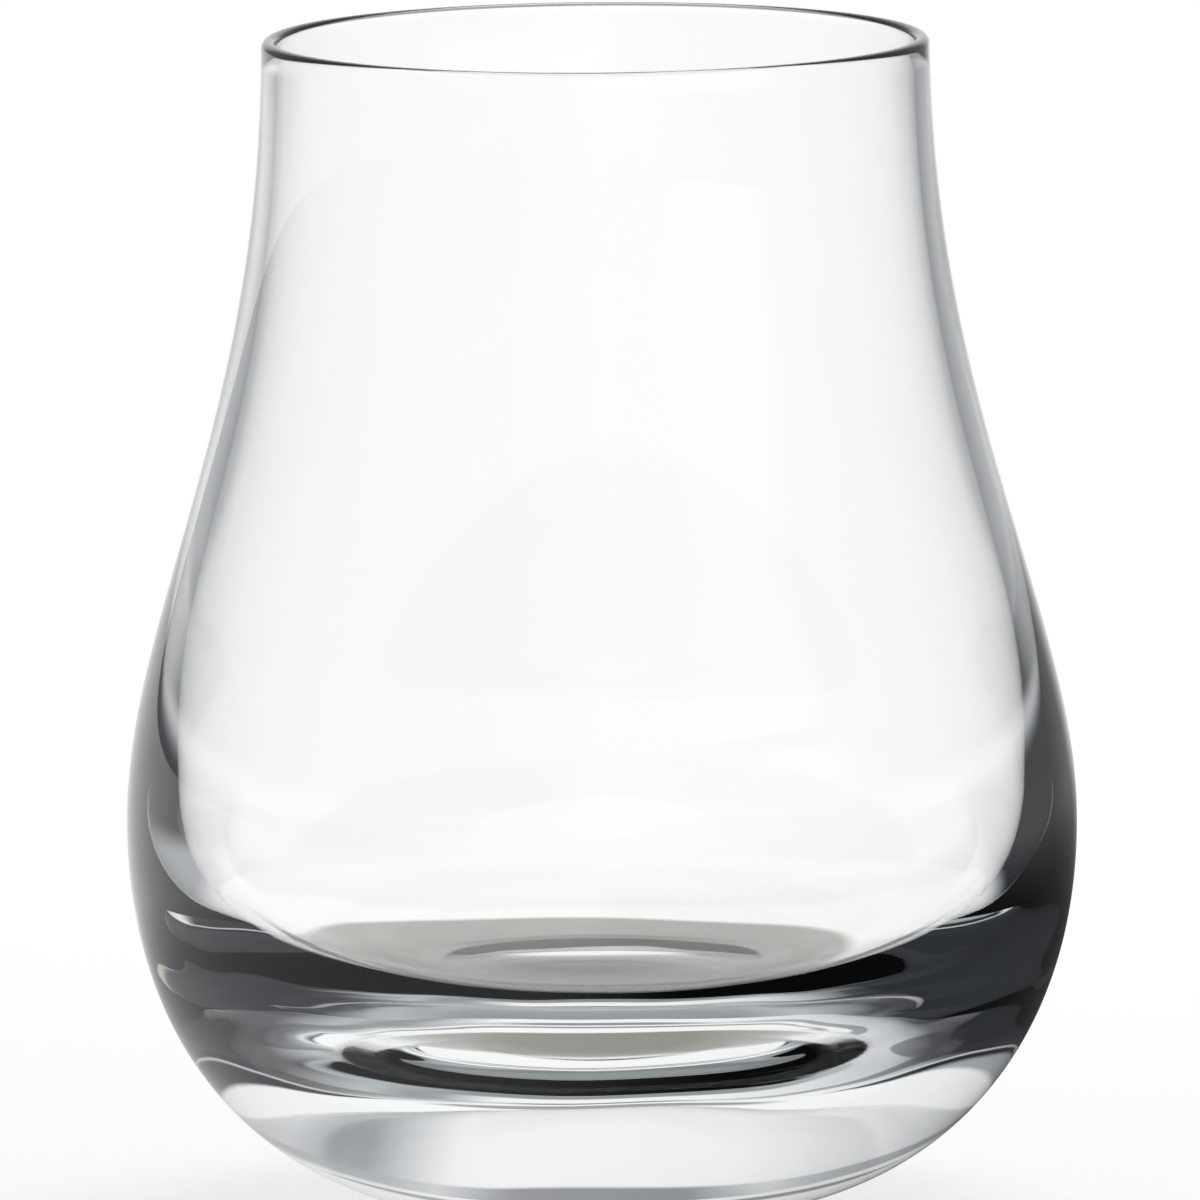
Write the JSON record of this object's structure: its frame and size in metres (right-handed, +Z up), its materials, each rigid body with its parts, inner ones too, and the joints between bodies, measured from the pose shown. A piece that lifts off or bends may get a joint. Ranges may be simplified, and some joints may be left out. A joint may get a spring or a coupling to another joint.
{
  "type": "whisky tumbler",
  "caption": "Clear glass whisky tumbler with a wide rounded belly, a drawn-in mouth, a thin wall and a heavy solid base, for nosing and drinking spirits.",
  "frame": {"origin": "on the glass's axis, at the level of the surface that its foot ring stands on", "axes": "+Z up along the axis of revolution, through the middle of the mouth; X and Y level, alike because the glass is round"},
  "size_m": [0.0802, 0.0802, 0.098],
  "materials": {
    "clear_glass": "fire-polished, clear and colourless, with a faint cool grey tint in thick glass"
  },
  "bodies": {
    "root": {"tumbler_glass": "clear_glass"}
  },
  "joints": []
}
